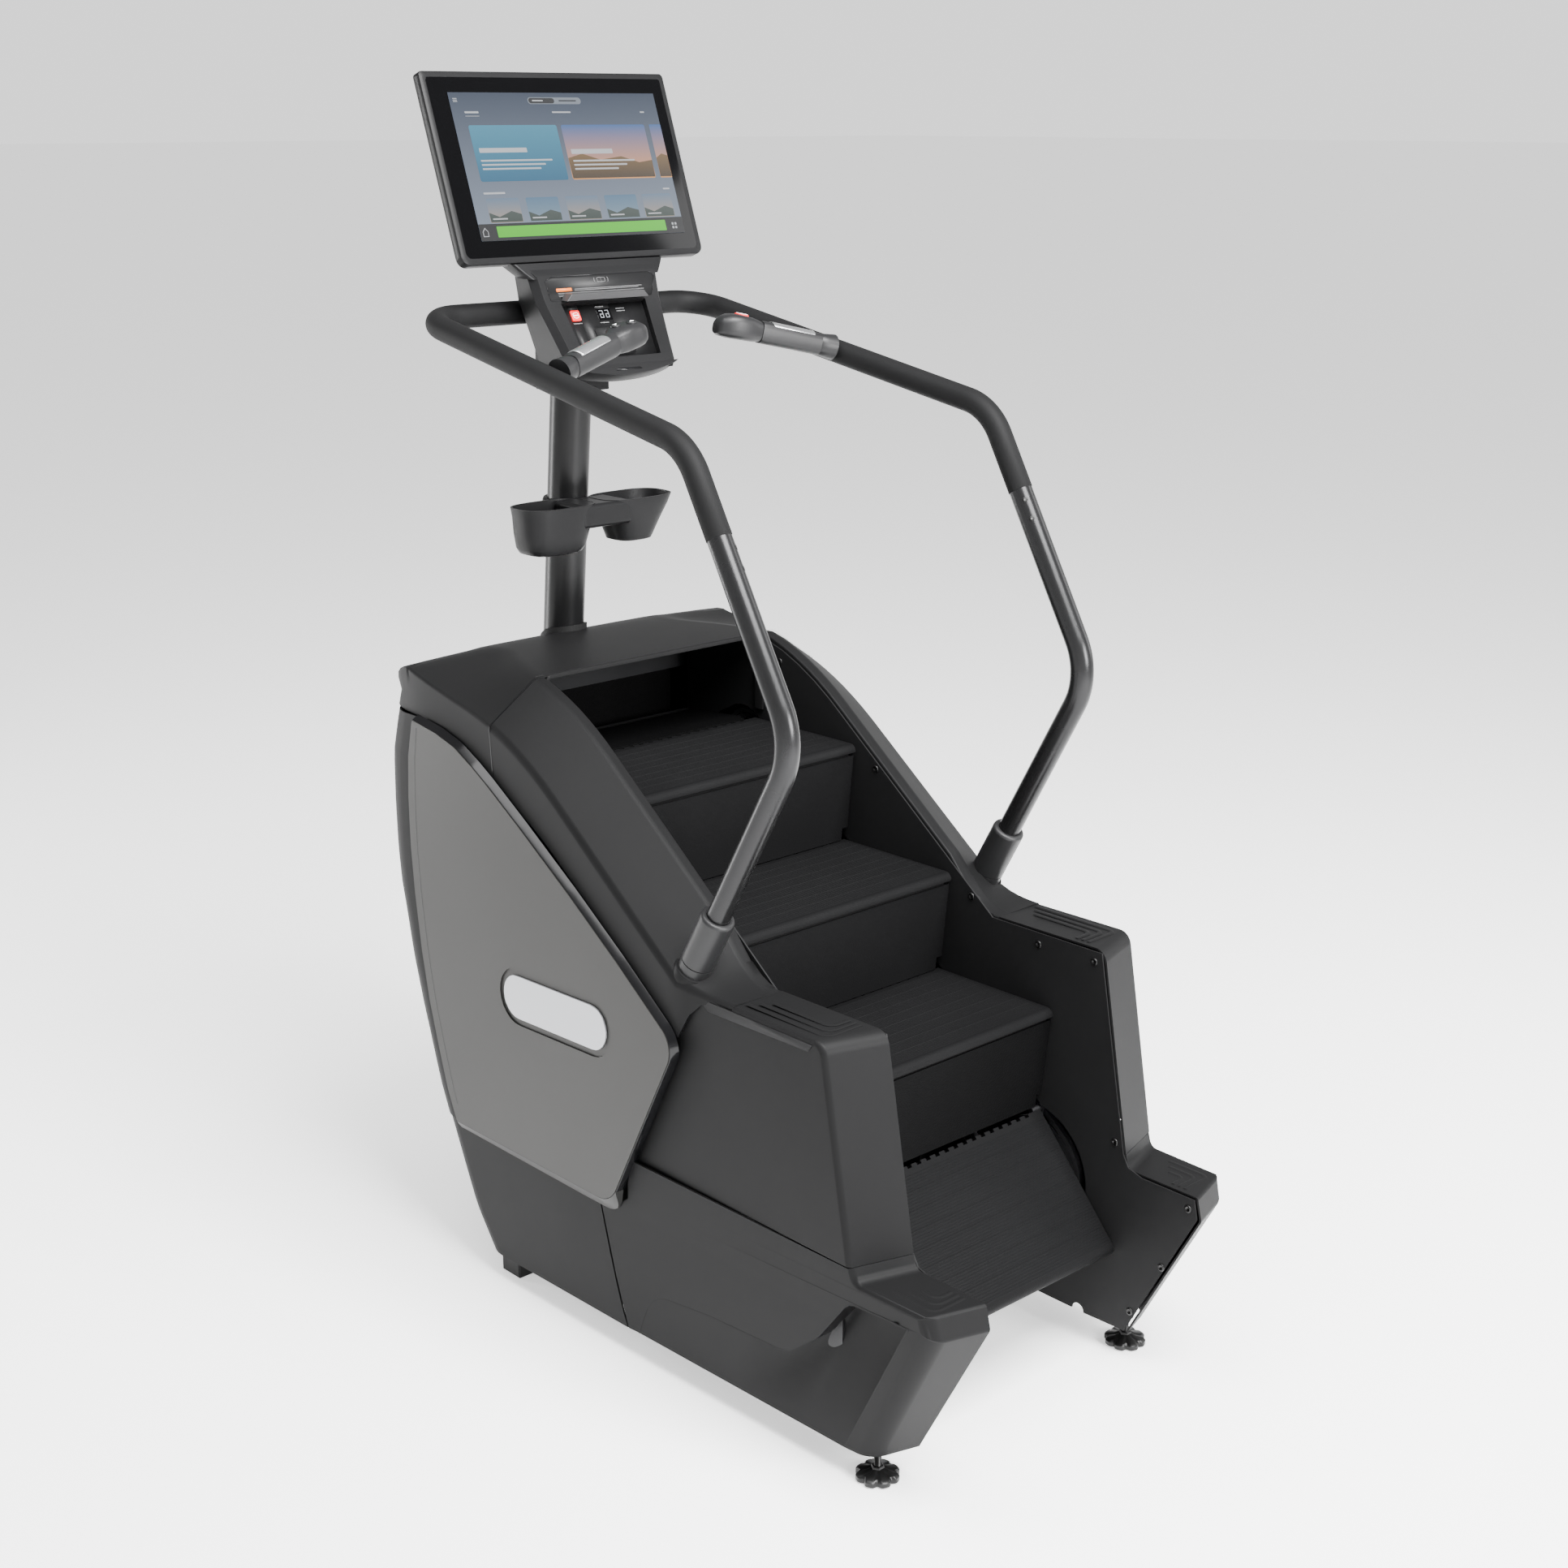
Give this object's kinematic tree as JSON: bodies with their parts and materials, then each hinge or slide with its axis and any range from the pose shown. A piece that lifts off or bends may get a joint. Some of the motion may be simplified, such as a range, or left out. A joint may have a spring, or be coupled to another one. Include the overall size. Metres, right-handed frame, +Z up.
{
  "type": "stair climber",
  "caption": "Cardio stair climber: revolving treads between side shrouds, tall bent handrails with pulse grips, mast console with screen, twin cup holder, levelling feet.",
  "frame": {"origin": "on the floor under the middle of the machine's outline", "axes": "+X to the right as the user faces the console, +Y from the entry side towards the console, +Z up"},
  "size_m": [0.806, 1.4557, 2.2097],
  "materials": {
    "frame_steel": "powder coat",
    "graphite_panel": "fine metallic",
    "charcoal_shell": "fine grain",
    "inner_black": "grained",
    "gloss_black": "gloss",
    "badge_silver": "satin",
    "step_plastic": "ribbed, pebble grain",
    "satin_tube": "satin metallic",
    "sleeve_rubber": "fine texture",
    "mast_paint": "satin",
    "grip_plastic": "soft matte",
    "contact_steel": "satin",
    "key_grey": "matte",
    "key_red": "matte",
    "console_plastic": "fine grain",
    "ledge_bright": "satin",
    "screen_glass": "gloss",
    "chain_steel": "oiled",
    "pulley_alloy": "machined",
    "brake_iron": "painted",
    "belt_rubber": "matte",
    "foot_plastic": "matte",
    "inlet_plastic": "matte"
  },
  "bodies": {
    "frame": {"base_frame": "frame_steel", "upright_frame": "frame_steel", "rear_feet": "belt_rubber", "inner_skirts": "inner_black", "side_panel_left": "graphite_panel", "side_panel_right": "graphite_panel", "stringer_cover_left": "charcoal_shell", "stringer_cover_right": "charcoal_shell", "column_cover_left": "charcoal_shell", "column_cover_right": "charcoal_shell", "lower_cover_left": "charcoal_shell", "lower_cover_right": "charcoal_shell", "side_strips": "gloss_black", "side_badges": "badge_silver", "top_hood": "charcoal_shell", "rear_cover": "charcoal_shell", "rear_lower_cover": "charcoal_shell", "hood_liner": "inner_black", "power_inlet": "inlet_plastic", "handrail_sleeve_left": "sleeve_rubber", "handrail_sleeve_right": "sleeve_rubber", "handrail_tubes": "satin_tube", "rail_sockets": "mast_paint", "grip_arms": "grip_plastic", "contact_plates": "contact_steel", "control_heads": "grip_plastic", "mast": "mast_paint", "mast_gasket": "belt_rubber", "cup_holder": "console_plastic", "console_neck": "console_plastic", "phone_ledge": "ledge_bright", "level_display": "screen_glass", "display_housing": "console_plastic", "display_glass": "screen_glass", "step_chains": "chain_steel", "brake_unit": "brake_iron", "drive_belt": "belt_rubber"},
    "flight": {"flight_steps": "step_plastic", "flight_axles": "chain_steel"},
    "step_3": {"tread_3": "step_plastic"},
    "riser_3": {"riser_3": "step_plastic"},
    "lower_turn": {"lower_sprockets": "chain_steel"},
    "step_4": {"tread_4": "step_plastic"},
    "riser_4": {"riser_4": "step_plastic"},
    "return_flight": {"return_steps": "step_plastic", "return_axles": "chain_steel"},
    "step_7": {"tread_7": "step_plastic"},
    "riser_7": {"riser_7": "step_plastic"},
    "upper_turn": {"upper_carriers": "chain_steel"},
    "step_0": {"tread_0": "step_plastic"},
    "riser_0": {"riser_0": "step_plastic"},
    "drive": {"drive_sprockets": "chain_steel"},
    "brake_rotor": {"brake_pulley": "pulley_alloy"},
    "faster_key": {"faster_button": "key_grey"},
    "slower_key": {"slower_button": "key_grey"},
    "pause_key": {"pause_button": "key_red"},
    "stop_key": {"stop_button": "key_red"},
    "foot_left": {"front_foot_left": "foot_plastic"},
    "foot_right": {"front_foot_right": "foot_plastic"}
  },
  "joints": [
    {"name": "stair_travel", "type": "slide", "parent": "frame", "child": "flight", "axis": [0, -0.7974, -0.6035], "range_m": [0, 0.316]},
    {"name": "step_3_tilt", "type": "hinge", "parent": "flight", "child": "step_3", "pos_m": [0, -0.1041, 0.6076], "axis": [1, 0, 0], "range_deg": [0, 49.73]},
    {"name": "riser_3_swing", "type": "hinge", "parent": "step_3", "child": "riser_3", "pos_m": [0, -0.37639, 0.60934], "axis": [1, 0, 0], "range_deg": [0, 31.89]},
    {"name": "lower_turn_spin", "type": "hinge", "parent": "frame", "child": "lower_turn", "pos_m": [0, -0.34688, 0.29844], "axis": [1, 0, 0], "range_deg": [0, 178.1]},
    {"name": "step_4_swing", "type": "hinge", "parent": "lower_turn", "child": "step_4", "pos_m": [0, -0.3562, 0.4168], "axis": [1, 0, 0], "range_deg": [-28.1, 0]},
    {"name": "riser_4_swing", "type": "hinge", "parent": "step_4", "child": "riser_4", "pos_m": [0, -0.53712, 0.2133], "axis": [1, 0, 0], "range_deg": [-21, 0]},
    {"name": "return_travel", "type": "slide", "parent": "frame", "child": "return_flight", "axis": [0, 0.7423, 0.6701], "range_m": [0, 0.317]},
    {"name": "step_7_swing", "type": "hinge", "parent": "return_flight", "child": "step_7", "pos_m": [0, 0.13707, 0.60057], "axis": [1, 0, 0], "range_deg": [0, 16]},
    {"name": "riser_7_swing", "type": "hinge", "parent": "step_7", "child": "riser_7", "pos_m": [0, 0.4085, 0.62233], "axis": [1, 0, 0], "range_deg": [0, 41]},
    {"name": "upper_turn_spin", "type": "hinge", "parent": "frame", "child": "upper_turn", "pos_m": [0, 0.44517, 0.89131], "axis": [1, 0, 0], "range_deg": [0, 248.66]},
    {"name": "step_0_swing", "type": "hinge", "parent": "upper_turn", "child": "step_0", "pos_m": [0, 0.37176, 0.81242], "axis": [1, 0, 0], "range_deg": [-104.74, 0]},
    {"name": "riser_0_swing", "type": "hinge", "parent": "flight", "child": "riser_0", "pos_m": [0, 0.4001, 0.9892], "axis": [1, 0, 0], "range_deg": [0, 102.3]},
    {"name": "drive_spin", "type": "hinge", "parent": "frame", "child": "drive", "pos_m": [0, 0.43806, 0.9477], "axis": [1, 0, 0], "range_deg": [0, 324.48]},
    {"name": "brake_spin", "type": "hinge", "parent": "frame", "child": "brake_rotor", "pos_m": [0, 0.25, 0.33], "axis": [1, 0, 0], "range_deg": [0, 1110.07]},
    {"name": "faster_press", "type": "slide", "parent": "frame", "child": "faster_key", "axis": [0.2124, 0.0612, -0.9753], "range_m": [0, 0.0015], "stiffness_N_per_m": 400},
    {"name": "slower_press", "type": "slide", "parent": "frame", "child": "slower_key", "axis": [0.2124, 0.0612, -0.9753], "range_m": [0, 0.0015], "stiffness_N_per_m": 400},
    {"name": "pause_press", "type": "slide", "parent": "frame", "child": "pause_key", "axis": [-0.2124, 0.0612, -0.9753], "range_m": [0, 0.0015], "stiffness_N_per_m": 400},
    {"name": "stop_press", "type": "slide", "parent": "frame", "child": "stop_key", "axis": [0, 0.8595, -0.5111], "range_m": [0, 0.0025], "stiffness_N_per_m": 400},
    {"name": "foot_left_turn", "type": "hinge", "parent": "frame", "child": "foot_left", "pos_m": [-0.3158, -0.5357, 0.03], "axis": [0, 0, 1], "continuous": true},
    {"name": "foot_right_turn", "type": "hinge", "parent": "frame", "child": "foot_right", "pos_m": [0.3158, -0.5357, 0.03], "axis": [0, 0, 1], "continuous": true}
  ],
  "couplings": [
    {"joint": "step_3_tilt", "follows": "stair_travel", "rad_per_m": 2.69},
    {"joint": "riser_3_swing", "follows": "stair_travel", "rad_per_m": 1.7055},
    {"joint": "lower_turn_spin", "follows": "stair_travel", "rad_per_m": 9.7764},
    {"joint": "step_4_swing", "follows": "stair_travel", "rad_per_m": -1.4959},
    {"joint": "riser_4_swing", "follows": "stair_travel", "rad_per_m": -1.1041},
    {"joint": "return_travel", "follows": "stair_travel", "ratio": 1},
    {"joint": "step_7_swing", "follows": "stair_travel", "rad_per_m": 0.82805},
    {"joint": "riser_7_swing", "follows": "stair_travel", "rad_per_m": 2.2081},
    {"joint": "upper_turn_spin", "follows": "stair_travel", "rad_per_m": 13.672},
    {"joint": "step_0_swing", "follows": "stair_travel", "rad_per_m": -5.7266},
    {"joint": "riser_0_swing", "follows": "stair_travel", "rad_per_m": 5.5921},
    {"joint": "drive_spin", "follows": "stair_travel", "rad_per_m": 17.857},
    {"joint": "brake_spin", "follows": "stair_travel", "rad_per_m": 61.224}
  ]
}
